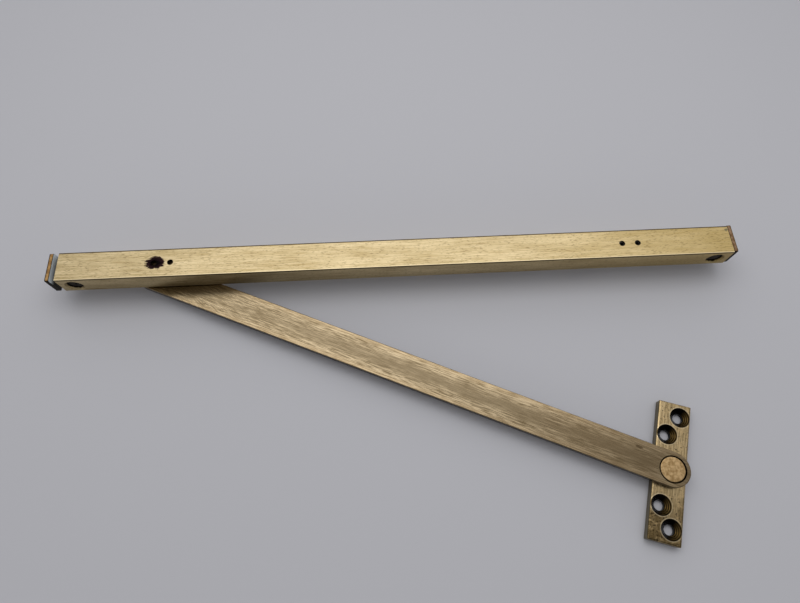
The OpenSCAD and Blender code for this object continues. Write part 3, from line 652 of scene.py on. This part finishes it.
# %% Spring
SPRING_TURNS, END_COILS = 7, 1
WIRE = 1.8 * MM
spring_low, spring_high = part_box("shock_spring")


def coil(low, high, wire, open_turns, end_coils, steps=48, sides=16):
    """Tube along a helix about X: closed turns rise by one wire each, open turns share the rest."""
    turns = open_turns + 2 * end_coils
    turn = np.linspace(0.0, turns, steps * turns + 1)[:, None]
    side = np.linspace(0.0, 2 * np.pi, sides, endpoint=False)[None, :]
    pitch = (high.x - low.x - (2 * end_coils + 1) * wire) / open_turns
    closed = np.minimum(turn, end_coils) + np.maximum(turn - end_coils - open_turns, 0.0)
    opened = np.clip(turn - end_coils, 0.0, open_turns)
    radius = (high.y - low.y - wire) / 2 + wire / 2 * np.cos(side)
    x = low.x + wire / 2 + closed * wire + opened * pitch + wire / 2 * np.sin(side)
    y = (low.y + high.y) / 2 + radius * np.sin(2 * np.pi * turn)
    z = (low.z + high.z) / 2 - radius * np.cos(2 * np.pi * turn)
    return np.stack([x + 0 * y, y, z], axis=-1)


def tube_mesh(name, grid):
    """Mesh of a grid that closes on itself along its second axis, with a flat cap at each end."""
    rows, sides = grid.shape[:2]
    index = np.arange(rows * sides).reshape(rows, sides)
    beside = np.roll(index, -1, axis=1)
    quads = np.stack([index[:-1], index[1:], beside[1:], beside[:-1]], axis=-1).reshape(-1, 4)
    mesh = bpy.data.meshes.new(name)
    caps = [index[0].tolist(), index[-1, ::-1].tolist()]
    mesh.from_pydata(grid.reshape(-1, 3).tolist(), [], quads.tolist() + caps)
    mesh.polygons.foreach_set("use_smooth", np.arange(len(mesh.polygons)) < len(quads))
    mesh.update()
    return mesh


spring_mesh = tube_mesh("coil_spring", coil(spring_low, spring_high, WIRE, SPRING_TURNS, END_COILS))
spring_mesh.materials.append(spring_steel)
spring = bpy.data.objects.new("coil_spring", spring_mesh)
bpy.context.scene.collection.objects.link(spring)
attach(spring, "track")
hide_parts("shock_spring")
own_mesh(spring)
print("spring of %d points" % len(spring_mesh.vertices))

# %% [markdown]
# ## The bracket's rivet
# The rivet was turned from bar: a flat head with a softened rim, a plain shank, and a tail that was
# closed over in the bracket's foot. The piece is its half section turned about the pivot. The head
# is given a faint crown of a tenth of a millimetre, which slides the light over it as it does over
# the real one.

# %% Rivet
HEAD_THICK, RIM_ROUND, CROWN = 2.4 * MM, 0.6 * MM, 0.1 * MM
SHANK_RADIUS, TAIL_RADIUS, TAIL_HEIGHT = 4.0 * MM, 5.8 * MM, 1.9 * MM
CENTRE_RADIUS = 0.5 * MM
rivet_low, rivet_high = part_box("bracket_rivet")
head_radius = (rivet_high.x - rivet_low.x) / 2


def rivet_profile(top, bottom):
    """Half section, head to tail: crown z = top - c (r / R)^2, a quarter round, then straight lines."""
    flat = np.linspace(CENTRE_RADIUS, head_radius - RIM_ROUND, 12)
    face = np.stack([flat, top - CROWN * (flat / head_radius) ** 2], axis=-1)
    bend = np.linspace(np.pi / 2, 0.0, 9)[1:]
    rim = face[-1] + RIM_ROUND * np.stack([np.cos(bend), np.sin(bend) - 1.0], axis=-1)
    rest = [(head_radius, top - HEAD_THICK), (SHANK_RADIUS, top - HEAD_THICK),
            (SHANK_RADIUS, bottom + TAIL_HEIGHT), (TAIL_RADIUS, bottom), (CENTRE_RADIUS, bottom)]
    return np.concatenate([face, rim, rest])


def lathe(profile, centre, steps=128):
    """Grid of points (x + r cos t, y + r sin t, z) for the section's (r, z) and a whole turn of t."""
    turn = np.linspace(0.0, 2 * np.pi, steps, endpoint=False)[None, :]
    radius, height = profile[:, :1], profile[:, 1:]
    x, y = centre[0] + radius * np.cos(turn), centre[1] + radius * np.sin(turn)
    return np.stack([x, y, height + 0 * turn], axis=-1)


rivet_mesh = tube_mesh("turned_rivet", lathe(rivet_profile(rivet_high.z, rivet_low.z), pivot))
rivet_mesh.set_sharp_from_angle(angle=math.radians(35))
rivet_mesh.materials.append(rivet_brass)
rivet = bpy.data.objects.new("turned_rivet", rivet_mesh)
bpy.context.scene.collection.objects.link(rivet)
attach(rivet, "bracket")
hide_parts("bracket_rivet")
print("rivet head %.1f mm across" % (2 * head_radius / MM))

# %% [markdown]
# ## The floor
# The holder lies on a plain grey table. A wide flat sheet under the bracket's foot catches the soft
# shadows.

# %% Floor
FLOOR_HALF, FLOOR_GAP = 3.0, 0.02 * MM
floor_level = cad_low.z - FLOOR_GAP
floor_mesh = bpy.data.meshes.new("floor")
corners = [(x * FLOOR_HALF, y * FLOOR_HALF, floor_level) for x, y in ((-1, -1), (1, -1), (1, 1), (-1, 1))]
floor_mesh.from_pydata(corners, [], [(0, 1, 2, 3)])
floor = bpy.data.objects.new("floor", floor_mesh)
bpy.context.scene.collection.objects.link(floor)
table, tree = new_finish("matt grey table")
shader = add(tree, "BsdfPrincipled", {"Base Color": colour("#C5C5C9"), "Roughness": 0.9})
add(tree, "OutputMaterial", {"Surface": shader})
floor_mesh.materials.append(table)
print("floor at z = %.1f mm" % (floor_level / MM))

# %% [markdown]
# ## The lamp
# One large soft lamp hangs above the holder and a little behind it, so that it shines back off the
# brass into the camera and the shadows fall short to the front.

# %% Lamp
KEY_PLACE = np.array([0.01, 0.20, 0.68])
KEY_AIM = np.array([0.0, 0.05, 0.0])
KEY_SIZE = (1.0, 0.37)
KEY_WATTS = 1.5
lamp = bpy.data.lights.new("key", "AREA")
lamp.shape = "RECTANGLE"
lamp.size, lamp.size_y = KEY_SIZE
lamp.energy = KEY_WATTS
key = bpy.data.objects.new("key", lamp)
key.location = KEY_PLACE
key.rotation_euler = Vector(KEY_AIM - KEY_PLACE).to_track_quat("-Z", "Y").to_euler()
bpy.context.scene.collection.objects.link(key)
print("key lamp %.2f m from the holder" % np.linalg.norm(KEY_PLACE - KEY_AIM))

# %% [markdown]
# ## The room
# Brass mirrors what stands round it. The room is bright above and behind, dark above the front and
# pale at eye level all round, so the brass mirrors something from every side and the shadows stay
# soft.

# %% Room
ROOM_DARK, ROOM_BRIGHT, WALLS_BRIGHT = 0.10, 0.92, 0.65
BRIGHT_SIDE = (0.0, 0.6, 0.8)
world = bpy.data.worlds.new("room")
world.use_nodes = True
tree = world.node_tree
tree.nodes.clear()
sky = add(tree, "TexCoord", {}, "Generated")
rise = add(tree, "VectorMath", {0: sky, 1: BRIGHT_SIDE}, "Value", operation="DOT_PRODUCT")
room = add(tree, "MapRange", {0: rise, 1: 0.20, 2: 0.95, 3: ROOM_DARK, 4: ROOM_BRIGHT}, **STEP)
height = add(tree, "SeparateXYZ", {0: sky}, "Z")
walls = add(tree, "MapRange", {0: height, 1: 0.65, 2: 0.30, 4: WALLS_BRIGHT}, **STEP)
room = add(tree, "Math", {0: room, 1: walls}, operation="MAXIMUM")
add(tree, "OutputWorld", {"Surface": add(tree, "Background", {"Color": colour("#F6F6F9"), "Strength": room})})
bpy.context.scene.world = world
bpy.context.scene.view_settings.view_transform = "Standard"
print("room shines from %.2f to %.2f" % (ROOM_DARK, ROOM_BRIGHT))
